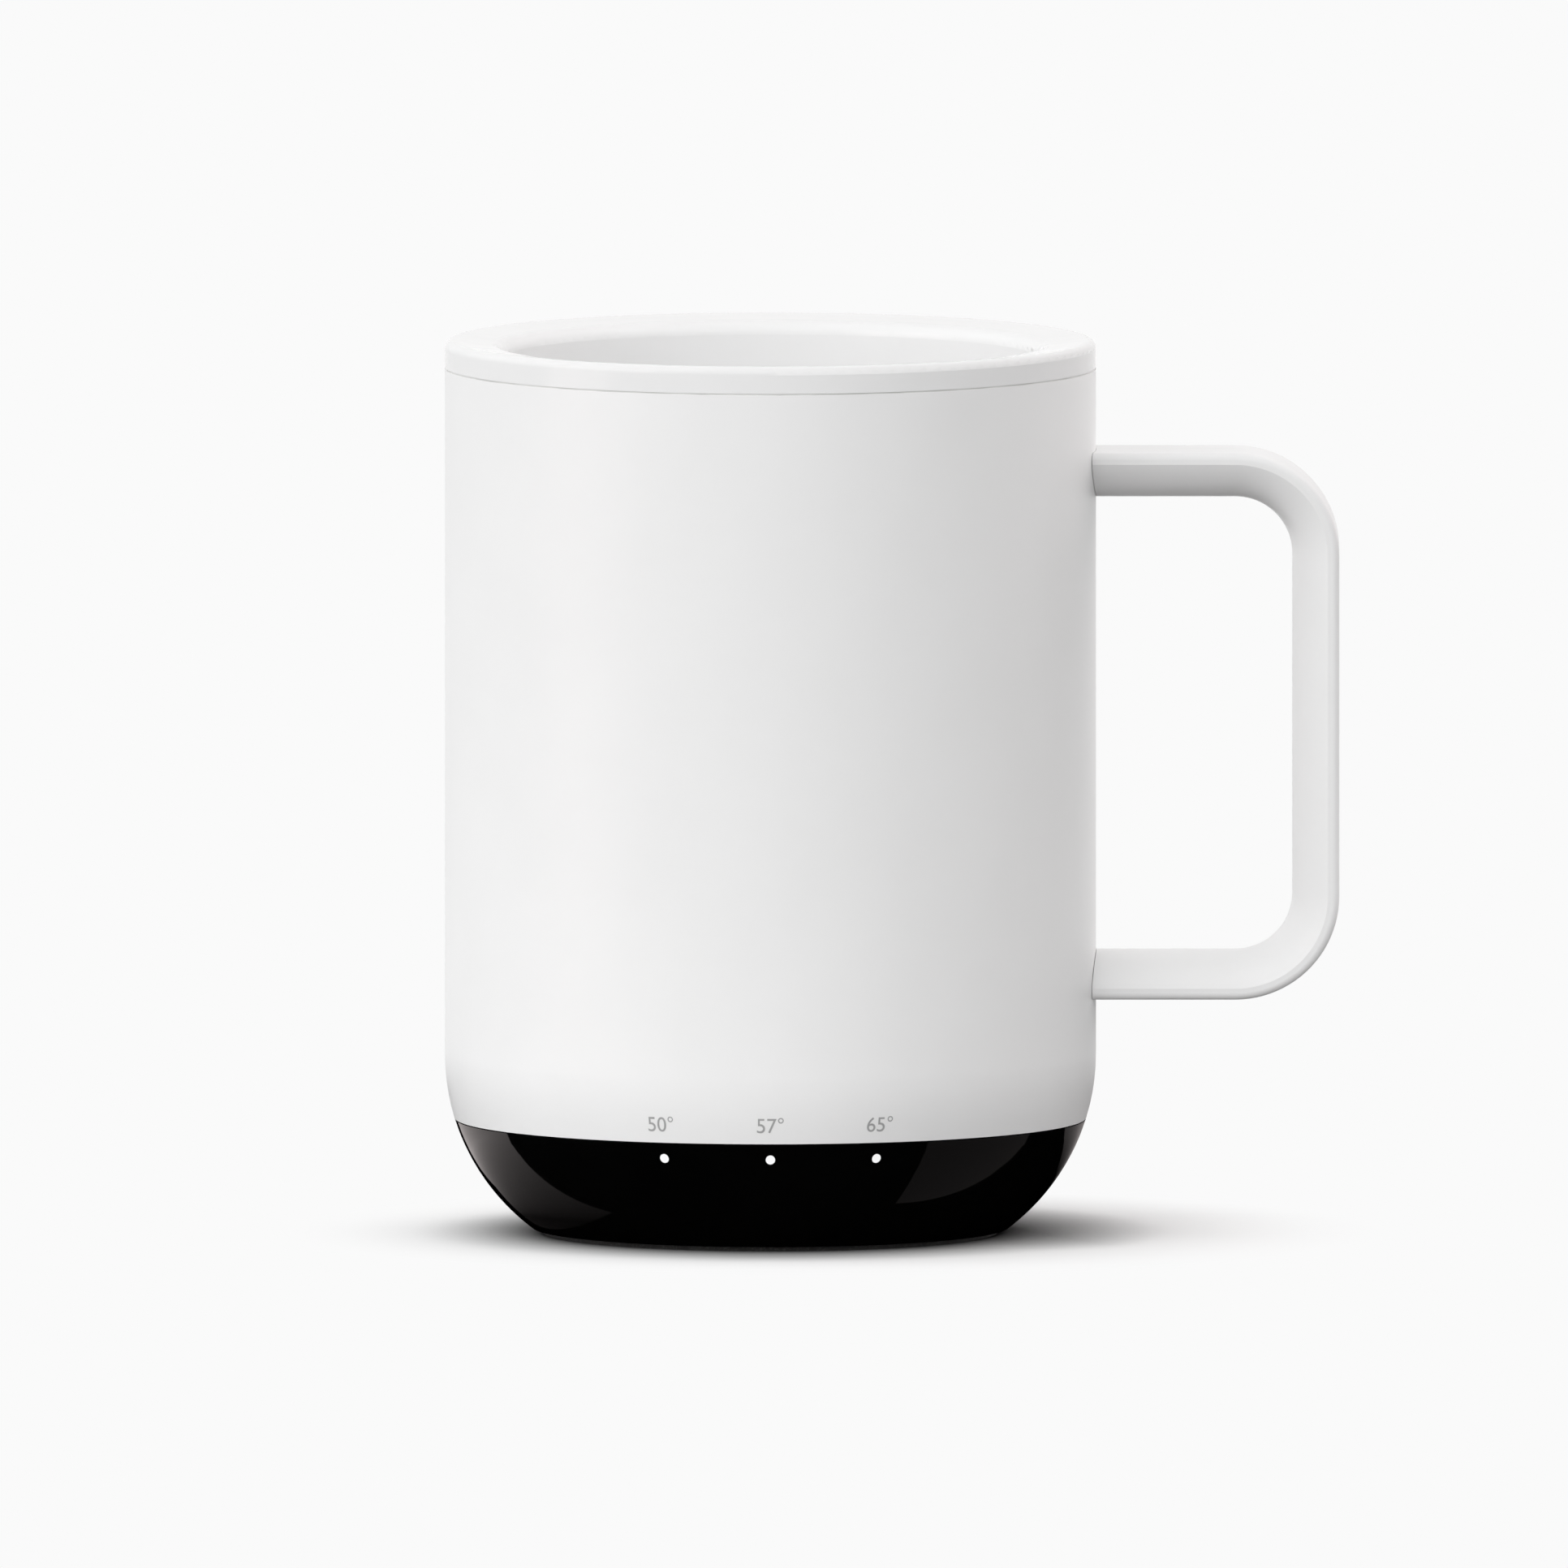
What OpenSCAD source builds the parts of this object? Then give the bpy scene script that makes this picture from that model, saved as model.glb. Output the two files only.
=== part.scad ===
// Self-heating mug: a glazed cup in a satin shell, on a black base that holds the heater and the battery.
// Sizes are in millimetres. The origin is on the mug's axis, on the surface that it stands on.
// +Z is up, the lights face -Y and the handle is on +X.

/* [Body] */
// Outer diameter of the straight wall
body_d = 80; // [79:0.5:88]
// Height of the rim above the table
mug_h = 110; // [102:1:130]
// Wall of the outer shell
shell_wall = 1.6; // [1.4:0.1:2]
// Height where the belly curve meets the straight wall
belly_z = 22; // [21.4:0.2:22.6]
// Radius of the belly curve
belly_r = 26.7; // [26.2:0.1:27.6]
// Height of the seam between the shell and the base
seam_z = 14.1; // [13.8:0.1:15]
// Open gap at the seam
seam_gap = 0.15; // [0.1:0.05:0.3]
// Thickness of the ledge inside the shell that the chassis is screwed to
ledge_t = 1.6; // [1.2:0.1:2.4]

/* [Cup] */
// Height of the glazed lip above the shell
lip_h = 3.3; // [3:0.1:6]
// Gap between the cup and the shell
air_gap = 3.6; // [3.2:0.1:5]
// Wall of the cup
cup_wall = 2; // [1.6:0.1:2.6]
// Floor of the cup
cup_floor_t = 2; // [1.6:0.1:4]
// Round between the floor and the wall inside the cup
cup_round = 6; // [4:0.5:8]
// Round on the outer edge of the rim
rim_edge_r = 1; // [0.5:0.1:1.4]
// Round where the rim turns down into the mouth
mouth_edge_r = 1.7; // [1:0.1:2]
// Fall of the rim's top towards the mouth
rim_fall = 0.5; // [0.2:0.1:0.8]
// Length of the skirt that centres the lip in the shell
skirt_h = 2.2; // [1.6:0.1:4]
// Thickness of the skirt
skirt_t = 1.3; // [1:0.1:1.6]
// Thickness of the seal under the lip
lip_seal_t = 0.2; // [0.1:0.05:0.4]
// Distance that the lip's seal is set back from the outside
lip_seal_inset = 0.1; // [0.1:0.1:0.6]

/* [Handle] */
// Distance from the shell to the handle's grip face
handle_reach = 24.1; // [20:0.1:32]
// Height of the handle over both bars
handle_span = 67.4; // [56:0.2:70]
// Height of the handle's middle above the table
handle_mid_z = 62.8; // [60:0.1:64]
// Thickness of the bar from the grip face to the flat back
handle_t = 5.8; // [5.8:0.1:8]
// Width of the bar
handle_w = 13; // [11:0.2:14]
// Radius of the convex grip face
handle_face_r = 7; // [7:0.1:9]
// Round on the edges of the flat back
handle_edge_r = 0.85; // [0.5:0.05:1.2]
// Inside radius of the handle's corners
handle_round = 7; // [4:0.5:10]
// Gap between the handle's feet and the shell
saddle_gap = 0.05; // [0.02:0.01:0.1]

/* [Handle fasteners] */
// Outside diameter of the threaded inserts
insert_d = 4.2; // [3.9:0.1:4.4]
// Length of the threaded inserts
insert_l = 8; // [5:0.5:12]
// Distance of the inserts below the handle's foot
insert_set = 0.6; // [0.4:0.1:2]
// Thread diameter of the handle screws
handle_screw_d = 2.9; // [2.4:0.1:3.1]
// Head diameter of the handle screws
handle_head_d = 5.5; // [4.6:0.1:6]
// Head height of the handle screws
handle_head_t = 1.9; // [1.5:0.1:2.1]

/* [Base] */
// Wall of the base
base_wall = 2; // [1.6:0.1:2.2]
// Height of the base's lower edge above the table
base_clear = 0.6; // [0.4:0.1:0.8]
// Thickness of the floor inside the base
base_floor_t = 1.4; // [1.2:0.1:2]
// Wall of the spigot that goes up into the shell
spigot_t = 1.7; // [1.4:0.1:1.9]
// Distance that the spigot runs down inside the base's wall
spigot_root = 4; // [3:0.2:5]
// Thickness of the seal between the base and the chassis
base_seal_t = 0.5; // [0.3:0.1:0.8]
// Thickness of the bottom cover
cover_t = 2; // [1.9:0.1:2.6]
// Width of the seal in the bottom cover
cover_seal_w = 1.4; // [1:0.1:1.5]
// Depth of the seal in the bottom cover
cover_seal_t = 0.6; // [0.4:0.1:0.9]
// Thickness of the rubber foot below the cover
foot_t = 0.9; // [0.8:0.1:1.4]
// Width of the rubber foot
foot_w = 5.4; // [4.6:0.1:5.6]

/* [Base fasteners] */
// Shank diameter of the cover screws
cover_screw_d = 2.4; // [2:0.1:2.8]
// Shank length of the cover screws
cover_screw_l = 9; // [6:0.5:12]
// Head diameter of the cover screws
cover_head_d = 4; // [3.6:0.1:4.2]
// Head height of the cover screws
cover_head_t = 1; // [0.7:0.1:1.1]
// Shank diameter of the chassis screws
chassis_screw_d = 1.8; // [1.6:0.1:2.2]
// Head diameter of the chassis screws
chassis_head_d = 3.5; // [3:0.1:3.8]
// Head height of the chassis screws
chassis_head_t = 1.2; // [0.8:0.1:1.6]
// Diameter of the bosses in the shell that take the chassis screws
ledge_boss_d = 4.4; // [3.8:0.1:4.6]

/* [Chassis] */
// Thickness of the chassis disc
chassis_t = 1.6; // [1.4:0.1:2.4]
// Diameter of the chassis pillars beside the battery
pillar_d = 6.2; // [5.8:0.1:6.8]
// Diameter of the pillars' lower ends
pillar_tip_d = 4.8; // [4.2:0.1:5.2]
// Diameter of the bosses, spacers and ears round the pillars
collar_d = 8; // [7.4:0.1:8.4]

/* [Battery] */
// Distance from the main board's edge in to the circle of screws, which sets how wide the cells are
screw_edge = 5.3; // [5:0.1:6.5]
// Gap between the tray's ends and the pillars, which sets how long the cells are
bay_end_gap = 1.4; // [1:0.1:3]
// Thickness of one cell
cell_t = 8.2; // [7.6:0.1:8.6]
// Gap between the two cells
cell_gap = 0.6; // [0.4:0.1:1]
// Wall of the battery tray
tray_wall = 1.2; // [1:0.1:1.4]
// Floor of the battery tray
tray_floor_t = 1; // [0.8:0.1:1.4]
// Height of the tray's walls above its floor
tray_rim_h = 4.4; // [3:0.1:4.6]
// Thickness of the foam between the cells and the chassis
foam_t = 0.6; // [0.4:0.1:1]
// Height of the two strips that join the cells
link_h = 1; // [0.6:0.1:1.2]
// Length of the strips that join the cells
link_l = 14; // [8:1:20]
// Thickness of the strips that join the cells
link_t = 0.2; // [0.1:0.05:0.3]

/* [Electronics] */
// Thickness of the main board
board_t = 1.2; // [1:0.1:1.6]
// Height of the bosses under the main board
board_lift = 1.7; // [1.6:0.1:2.4]
// Gap between the main board's edge and the base
board_gap = 1.6; // [1.2:0.1:2.4]
// Height of the spacers between the board and the tray
spacer_h = 1.4; // [1.2:0.1:2]
// Width and length of the control chip
chip_w = 7; // [5:0.5:10]
// Height of the control chip
chip_h = 0.9; // [0.6:0.1:1.1]
// Width and length of the power inductor
inductor_w = 4.5; // [3:0.1:4.8]
// Height of the power inductor
inductor_h = 4; // [2:0.1:5]
// Height of the sockets on the board
socket_h = 2; // [1.6:0.1:2.2]
// Width of the sockets on the board
socket_w = 5; // [4.2:0.1:5.4]
// Depth of the sockets on the board
socket_l = 4.4; // [3:0.1:4.6]
// Diameter of the heater and battery wires
wire_d = 0.9; // [0.6:0.1:1.1]
// Distance between the two wires of a pair
wire_spacing = 1.6; // [1.4:0.1:2]
// Bend radius of the battery wires at their middle
wire_bend = 1.4; // [1:0.1:2]

/* [Heater] */
// Thickness of the insulation pad under the heater
pad_t = 3.6; // [3:0.1:5]
// Thickness of the heater film
film_t = 0.4; // [0.2:0.1:0.8]
// Distance of the film's edge from the round under the cup
film_inset = 0.8; // [0.4:0.1:1.6]
// Diameter of the temperature sensor
sensor_d = 2.6; // [2:0.1:3]
// Height of the temperature sensor
sensor_h = 1.8; // [1:0.1:2.4]
// Diameter of the sensor wires
sensor_wire_d = 0.6; // [0.4:0.1:0.8]
// Diameter of the thermal fuse
fuse_d = 2; // [1.4:0.1:2.4]
// Length of the thermal fuse
fuse_l = 7; // [5:0.5:10]
// Distance of the thermal fuse behind the front of the axis
fuse_y = 18; // [10:0.5:20]

/* [Lights] */
// Height of the lights above the table
light_z = 12.1; // [11.8:0.1:12.2]
// Angle between neighbouring lights
light_step = 20; // [14:1:22]
// Diameter of a light
light_d = 1.1; // [0.8:0.1:1.4]
// Diameter of the flange at a light pipe's inner end
light_flange_d = 2.1; // [1.9:0.1:2.6]
// Thickness of that flange
light_flange_t = 0.6; // [0.4:0.05:0.65]
// Thickness of the holder behind the lights
holder_t = 1.4; // [1.4:0.1:1.8]
// Height of the holder and the light board
holder_h = 3.6; // [3:0.1:3.8]
// Half of the angle that the holder spans
holder_half = 26; // [24:1:30]
// Thickness of the light board
light_board_t = 0.35; // [0.2:0.05:0.5]
// Thickness of a light-emitting chip
led_t = 0.7; // [0.4:0.05:0.75]
// Width of a light-emitting chip
led_w = 1.6; // [1:0.1:1.7]
// Height of a light-emitting chip
led_h = 0.8; // [0.5:0.1:1]
// Width of the ribbon from the light board
ribbon_w = 5; // [3:0.2:5]
// Thickness of the ribbon
ribbon_t = 0.2; // [0.1:0.05:0.3]

/* [Button and contacts] */
// Diameter of the push button
button_d = 9.8; // [8:0.1:12]
// Distance that the button stands below the cover
button_proud = 0.3; // [0.1:0.05:0.4]
// Travel of the button
button_travel = 0.5; // [0.3:0.05:0.7]
// Width of the flange that keeps the button in
button_flange_w = 1.3; // [0.8:0.1:1.6]
// Thickness of that flange
button_flange_t = 0.6; // [0.4:0.05:0.7]
// Thickness of the boot's roof
boot_t = 0.4; // [0.3:0.05:0.5]
// Wall of the boot
boot_wall = 0.8; // [0.5:0.1:1]
// Diameter of the switch's plunger
plunger_d = 2; // [1.4:0.1:2.6]
// Distance that the plunger reaches into the switch at rest
plunger_in = 0.3; // [0.2:0.05:0.3]
// Width and length of the switch
switch_w = 6; // [4.5:0.1:8]
// Height of the switch
switch_h = 1.4; // [1.3:0.05:1.4]
// Distance from the floor's opening in to the middle of the outer contact ring
contact_edge = 2.2; // [1.4:0.1:3]
// Distance between the middles of the two contact rings
contact_spacing = 4.4; // [3:0.1:5]
// Width of the contact rings
contact_w = 2; // [1.4:0.1:2.4]
// Thickness of the contact rings
contact_t = 0.8; // [0.5:0.1:1]
// Distance that the contact rings stand below the cover
contact_proud = 0.2; // [0.1:0.05:0.4]
// Diameter of the contact pins
contact_pin_d = 1.2; // [0.8:0.1:1.4]

/* [Clearances] */
// Clearance round parts that slide or drop in
fit_gap = 0.1; // [0.05:0.01:0.15]
// Clearance of the parts that are pressed or bonded in
snug_gap = 0.03; // [0.02:0.01:0.05]
// Clearance between the shell and what goes up into it
shell_gap = 0.3; // [0.2:0.05:0.4]
// Clearance between parts that only stand beside each other
side_gap = 0.3; // [0.2:0.05:0.4]
// Clearance of the button in its hole
button_gap = 0.15; // [0.1:0.05:0.25]
// Clearance between the button, its boot and the plunger
stack_gap = 0.05; // [0.03:0.01:0.1]

/* [Hidden] */
$fn = 96;
// Distance that a cutting shape runs past what it cuts
over = 1;
light_n = 3;
cell_n = 2;
front = -90;

// Radii that follow from the body
body_r = body_d / 2;
shell_ri = body_r - shell_wall;
belly_x = body_r - belly_r;
cup_ro = shell_ri - air_gap;
mouth_r = cup_ro - cup_wall;
cup_under_round = cup_round + cup_wall;
cup_flat_r = cup_ro - cup_under_round;
skirt_ro = shell_ri - shell_gap;
lip_z = mug_h - lip_h;
shell_top = lip_z - lip_seal_t;

// Heights of the stack, from the foot up to the cup's floor
cover_z = foot_t;
cover_top = cover_z + cover_t;
floor_top = cover_top + base_floor_t;
board_z = floor_top + board_lift;
board_top = board_z + board_t;
tray_z = board_top + spacer_h;
cell_z = tray_z + tray_floor_t;
foam_z = cell_z + cell_t;
chassis_z = foam_z + foam_t;
pad_z = chassis_z + chassis_t;
film_z = pad_z + pad_t;
cup_z = film_z + film_t;
cup_floor_z = cup_z + cup_floor_t;
socket_top = board_top + socket_h;

// Battery bay and the circle of screws round it
board_r = belly(board_z, base_wall) - board_gap;
screw_r = board_r - screw_edge;
tray_half_w = screw_r - pillar_d / 2 - side_gap;
tray_half_l = screw_r - pillar_d / 2 - bay_end_gap;
bay_half_w = tray_half_w - tray_wall;
bay_half_l = tray_half_l - tray_wall;
pack_half_w = bay_half_w - side_gap;
pack_half_l = bay_half_l - side_gap;
cell_w = pack_half_w - cell_gap / 2;
cell_l = 2 * pack_half_l;
pillar_angles = [0, 90, 180, 270];
pillar_z = floor_top + fit_gap;
foot_ro = screw_r + foot_w / 2;
foot_ri = screw_r - foot_w / 2;
cover_r = foot_ro + side_gap;
floor_ri = screw_r - collar_d / 2 - cover_seal_w - side_gap;
cover_seal_ri = floor_ri + side_gap;
cover_head_z = cover_z + stack_gap;
cover_shank_z = cover_head_z + cover_head_t;
cover_screw_end = cover_shank_z + cover_screw_l;
bore_gap = 0.15;
pilot_gap = 0.05;
pilot_spare = 0.6;

// Joint between the base and the shell
spigot_ro = belly(seam_z, shell_wall) - shell_gap;
spigot_ri = spigot_ro - spigot_t;
spigot_top = chassis_z - base_seal_t;
chassis_r = belly(chassis_z, shell_wall) - 3 * shell_gap;
chassis_screw_r = spigot_ri - chassis_head_d / 2 - side_gap;
chassis_angles = [45, 135, 225, 315];
ledge_boss_h = cup_z - pad_z - side_gap;
ledge_bore_h = ledge_boss_h - side_gap;
ledge_ri = chassis_screw_r - ledge_boss_d / 2;
pad_r = ledge_ri - side_gap;
film_r = cup_flat_r - film_inset;

// Sockets and wires of the main board
wire_y = tray_half_l + side_gap + socket_l / 2;
heater_wire_x = 9;
sensor_wire_x = -6.6;
battery_wire_x = -13;
chip_at = [-12, -6];
inductor_clear = 1.6;
inductor_at = [
    tray_half_w + inductor_clear + inductor_w / 2,
    collar_d / 2 + inductor_clear + inductor_w / 2
];
battery_wire_z = foam_z - wire_d - side_gap;
wire_hole_d = wire_d + 6 * fit_gap;
sensor_hole_d = sensor_d + 4 * fit_gap;
fuse_leg_l = 2;
fuse_leg_w = 0.6;
fuse_leg_t = 0.3;
fuse_z = film_z - fit_gap - fuse_d / 2;

// Lights
holder_ro = spigot_ri - snug_gap;
light_board_ro = holder_ro - holder_t;
light_board_ri = light_board_ro - light_board_t;
light_flange_r = holder_ro - light_flange_t;
ribbon_angle = front + 18;
ribbon_in_r = board_r - socket_l;

// Button and contacts
button_r = button_d / 2;
button_face_z = cover_z - button_proud;
button_flange_z = cover_top + fit_gap;
button_flange_top = button_flange_z + button_flange_t;
button_flange_r = button_r + button_flange_w;
boot_z = button_flange_top + stack_gap;
boot_top = boot_z + boot_t;
boot_ri = button_flange_r + side_gap;
plunger_z = boot_top + stack_gap;
switch_z = board_z - switch_h;
switch_bore_h = plunger_in + button_travel + 2 * fit_gap;
contact_out_r = floor_ri - contact_edge;
contact_in_r = contact_out_r - contact_spacing;
contact_z = cover_z - contact_proud;
contact_top = contact_z + contact_t;
contact_half = contact_w / 2 + snug_gap;
contact_pin_angles = [45, 225];

// Handle
handle_grip_x = body_r + handle_reach;
handle_corner_x = handle_grip_x - handle_round;
handle_corner_h = handle_span / 2 - handle_t - handle_round;
insert_lean = 0.2;
insert_h = handle_span / 2 - handle_t / 2 + insert_lean;
insert_heights = [handle_mid_z - insert_h, handle_mid_z + insert_h];
insert_x = body_r + insert_set;
insert_end = insert_x + insert_l;
handle_head_x = sqrt(pow(shell_ri, 2) - pow(handle_head_d / 2, 2));
wrap_t = air_gap - handle_head_t - side_gap - fit_gap;
wrap_z = cup_z + cup_under_round;

// Radius of the body at a height, taken in from the outside by inset
function belly(z, inset) =
    z >= belly_z ? body_r - inset
    : belly_x + sqrt(pow(belly_r - inset, 2) - pow(belly_z - z, 2));

// Direction of light i, counted from left to right
function light_angle(i) = front + (i - (light_n + 1) / 2) * light_step;

// Half section of the body between two heights, taken in from the outside by inset
module body_section(inset, z0, z1) {
    if (z0 < belly_z)
        intersection() {
            translate([0, z0])
                square([body_d, min(z1, belly_z) - z0]);
            union() {
                translate([belly_x, belly_z])
                    circle(belly_r - inset);
                translate([0, z0])
                    square([belly_x, min(z1, belly_z) - z0]);
            }
        }
    if (z1 > belly_z)
        translate([0, max(z0, belly_z)])
            square([body_r - inset, z1 - max(z0, belly_z)]);
}

// Quarter of a disc, on the side of its centre that q points to
module quarter(centre, r, q) {
    intersection() {
        translate(centre)
            circle(r);
        translate([centre.x + min(q.x, 0) * 2 * r, centre.y + min(q.y, 0) * 2 * r])
            square(2 * r);
    }
}

// Half section of a drum with a rounded bottom edge
module drum_section(r, z0, z1, edge) {
    translate([0, z0])
        square([r - edge, z1 - z0]);
    translate([r - edge, z0 + edge])
        square([edge, z1 - z0 - edge]);
    quarter([r - edge, z0 + edge], edge, [1, -1]);
}

module ring(ri, ro, z0, z1) {
    rotate_extrude()
        translate([ri, z0])
            square([ro - ri, z1 - z0]);
}

module rod(d, z0, z1) {
    translate([0, 0, z0])
        cylinder(d = d, h = z1 - z0);
}

// Copies on a circle, turned to face outwards
module around(r, angles) {
    for (a = angles)
        rotate(a)
            translate([r, 0, 0])
                children();
}

// Rod from the axis outwards, at a height and in a direction
module radial_rod(d, r0, r1, z, angle) {
    rotate(angle)
        translate([r0, 0, z])
            rotate([0, 90, 0])
                cylinder(d = d, h = r1 - r0);
}

// Box that stands on z0, centred on a point
module block(size, at, z0) {
    translate([at.x - size.x / 2, at.y - size.y / 2, z0])
        cube(size);
}

module pair_at(x) {
    for (s = [-1, 1])
        translate([x + s * wire_spacing / 2, wire_y, 0])
            children();
}

module inner_cup() {
    rim_z = mug_h - rim_edge_r;
    mouth_z = mug_h - rim_fall - mouth_edge_r;
    edge_x = body_r - rim_edge_r;
    turn_x = mouth_r + mouth_edge_r;
    color("white")
        rotate_extrude() {
            difference() {
                drum_section(cup_ro, cup_z, lip_z, cup_under_round);
                drum_section(mouth_r, cup_floor_z, lip_z + lip_h, cup_round);
            }
            translate([skirt_ro - skirt_t, lip_z - skirt_h])
                square([skirt_t, skirt_h]);
            polygon([
                [mouth_r, lip_z], [body_r, lip_z], [body_r, rim_z], [edge_x, rim_z],
                [edge_x, mug_h], [turn_x, mug_h - rim_fall], [turn_x, mouth_z], [mouth_r, mouth_z]
            ]);
            quarter([edge_x, rim_z], rim_edge_r, [1, 1]);
            quarter([turn_x, mouth_z], mouth_edge_r, [-1, 1]);
        }
}

module lip_seal() {
    color("lightgray")
        ring(shell_ri + fit_gap, body_r - lip_seal_inset, shell_top, lip_z);
}

module insulation_wrap() {
    color("gainsboro")
        ring(cup_ro, cup_ro + wrap_t, wrap_z, lip_z - skirt_h - side_gap);
}

module outer_shell() {
    color("whitesmoke")
        difference() {
            union() {
                rotate_extrude()
                    difference() {
                        body_section(0, seam_z, shell_top);
                        difference() {
                            body_section(shell_wall, seam_z - over, shell_top + over);
                            translate([ledge_ri, pad_z])
                                square([body_r, ledge_t]);
                        }
                    }
                around(chassis_screw_r, chassis_angles)
                    rod(ledge_boss_d, pad_z, pad_z + ledge_boss_h);
            }
            around(chassis_screw_r, chassis_angles)
                rod(chassis_screw_d + 2 * pilot_gap, pad_z - over, pad_z + ledge_bore_h);
            for (z = insert_heights)
                radial_rod(handle_screw_d + 2 * bore_gap, shell_ri - over, body_r + over, z, 0);
        }
}

// Section of the handle's bar: the grip face is at x = 0 and the flat back at x = handle_t
module handle_section() {
    back_x = handle_t - handle_edge_r;
    side_y = handle_w / 2 - handle_edge_r;
    intersection() {
        translate([handle_face_r, 0])
            circle(handle_face_r);
        union() {
            translate([0, -handle_w / 2])
                square([back_x, handle_w]);
            translate([back_x, -side_y])
                square([handle_edge_r, 2 * side_y]);
            for (s = [-1, 1])
                quarter([back_x, s * side_y], handle_edge_r, [1, s]);
        }
    }
}

// Upper bar and corner of the handle, with heights counted from its middle
module handle_arm() {
    translate([handle_corner_x, 0, handle_corner_h])
        rotate([90, 0, 0])
            rotate_extrude(angle = 90)
                translate([handle_round, 0])
                    handle_section();
    translate([handle_corner_x, 0, handle_corner_h + handle_round])
        rotate([0, -90, 0])
            linear_extrude(handle_corner_x - shell_ri + shell_wall)
                handle_section();
}

module handle() {
    color("whitesmoke")
        difference() {
            translate([0, 0, handle_mid_z]) {
                translate([handle_grip_x, 0, -handle_corner_h])
                    linear_extrude(2 * handle_corner_h)
                        handle_section();
                handle_arm();
                mirror([0, 0, 1])
                    handle_arm();
            }
            cylinder(r = body_r + saddle_gap, h = mug_h);
            for (z = insert_heights)
                radial_rod(insert_d + 2 * snug_gap, shell_ri, insert_end, z, 0);
        }
}

module handle_inserts() {
    color("goldenrod")
        for (z = insert_heights)
            difference() {
                radial_rod(insert_d, insert_x, insert_end, z, 0);
                radial_rod(handle_screw_d + 2 * pilot_gap, insert_x - over, insert_end + over, z, 0);
            }
}

module handle_screws() {
    color("silver")
        for (z = insert_heights) {
            radial_rod(handle_head_d, handle_head_x - handle_head_t, handle_head_x, z, 0);
            radial_rod(handle_screw_d, handle_head_x, insert_end - insert_set, z, 0);
        }
}

module base_shell() {
    color([0.03, 0.03, 0.03])
        difference() {
            union() {
                rotate_extrude()
                    difference() {
                        union() {
                            body_section(0, base_clear, seam_z - seam_gap);
                            translate([spigot_ri, seam_z - spigot_root])
                                square([spigot_t, spigot_top - seam_z + spigot_root]);
                        }
                        difference() {
                            body_section(base_wall, floor_top, spigot_top + over);
                            translate([spigot_ri, seam_z - spigot_root])
                                square([spigot_t, spigot_top - seam_z + spigot_root]);
                        }
                        translate([0, base_clear - over])
                            square([cover_r + fit_gap, cover_top - base_clear + over]);
                        translate([0, cover_top - over])
                            square([floor_ri, base_floor_t + 2 * over]);
                    }
                around(screw_r, pillar_angles)
                    rod(collar_d, floor_top, board_z);
            }
            around(screw_r, pillar_angles) {
                rod(pillar_tip_d + 2 * fit_gap, floor_top, board_z + over);
                rod(cover_screw_d + 2 * bore_gap, cover_top - over, floor_top + over);
            }
            for (i = [1 : light_n])
                radial_rod(light_d + 2 * snug_gap, holder_ro - over, body_r, light_z, light_angle(i));
        }
}

module base_seal() {
    color("gray")
        ring(spigot_ri, spigot_ro, spigot_top, chassis_z);
}

module chassis() {
    color("slategray")
        difference() {
            union() {
                rod(2 * chassis_r, chassis_z, pad_z);
                around(screw_r, pillar_angles) {
                    rod(pillar_d, cell_z, chassis_z);
                    rod(pillar_tip_d, pillar_z, cell_z);
                }
            }
            around(screw_r, pillar_angles)
                rod(cover_screw_d + 2 * pilot_gap, pillar_z - over, cover_screw_end + pilot_spare);
            around(chassis_screw_r, chassis_angles)
                rod(chassis_screw_d + 2 * fit_gap, chassis_z - over, pad_z + over);
            for (x = [heater_wire_x, sensor_wire_x])
                pair_at(x)
                    rod(wire_hole_d, chassis_z - over, pad_z + over);
        }
}

module chassis_screws() {
    color("silver")
        around(chassis_screw_r, chassis_angles) {
            rod(chassis_head_d, chassis_z - chassis_head_t, chassis_z);
            rod(chassis_screw_d, chassis_z, pad_z + ledge_bore_h - fit_gap);
        }
}

module bottom_cover() {
    color([0.05, 0.05, 0.05])
        difference() {
            rod(2 * cover_r, cover_z, cover_top);
            rod(button_d + 2 * button_gap, cover_z - over, cover_top + over);
            for (r = [contact_in_r, contact_out_r]) {
                ring(r - contact_half, r + contact_half, cover_z - over, contact_top);
                around(r, contact_pin_angles)
                    rod(contact_pin_d + 2 * fit_gap, cover_z, cover_top + over);
            }
            ring(cover_seal_ri, cover_seal_ri + cover_seal_w, cover_top - cover_seal_t, cover_top + over);
            around(screw_r, pillar_angles) {
                rod(cover_head_d + 2 * bore_gap, cover_z - over, cover_shank_z);
                rod(cover_screw_d + 2 * bore_gap, cover_z, cover_top + over);
            }
        }
}

module cover_seal() {
    color("dimgray")
        ring(cover_seal_ri, cover_seal_ri + cover_seal_w, cover_top - cover_seal_t, cover_top);
}

module cover_screws() {
    color("silver")
        around(screw_r, pillar_angles) {
            rod(cover_head_d, cover_head_z, cover_shank_z);
            rod(cover_screw_d, cover_shank_z, cover_screw_end);
        }
}

module foot_ring() {
    color([0.12, 0.12, 0.12])
        ring(foot_ri, foot_ro, 0, foot_t);
}

module power_button() {
    color([0.1, 0.1, 0.1]) {
        rod(button_d, button_face_z, button_flange_z);
        rod(2 * button_flange_r, button_flange_z, button_flange_top);
    }
}

module button_boot() {
    color("lightgray") {
        ring(boot_ri, boot_ri + boot_wall, cover_top, boot_top);
        rod(2 * boot_ri, boot_z, boot_top);
    }
}

module switch_plunger() {
    color("black")
        rod(plunger_d, plunger_z, switch_z + plunger_in);
}

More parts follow.
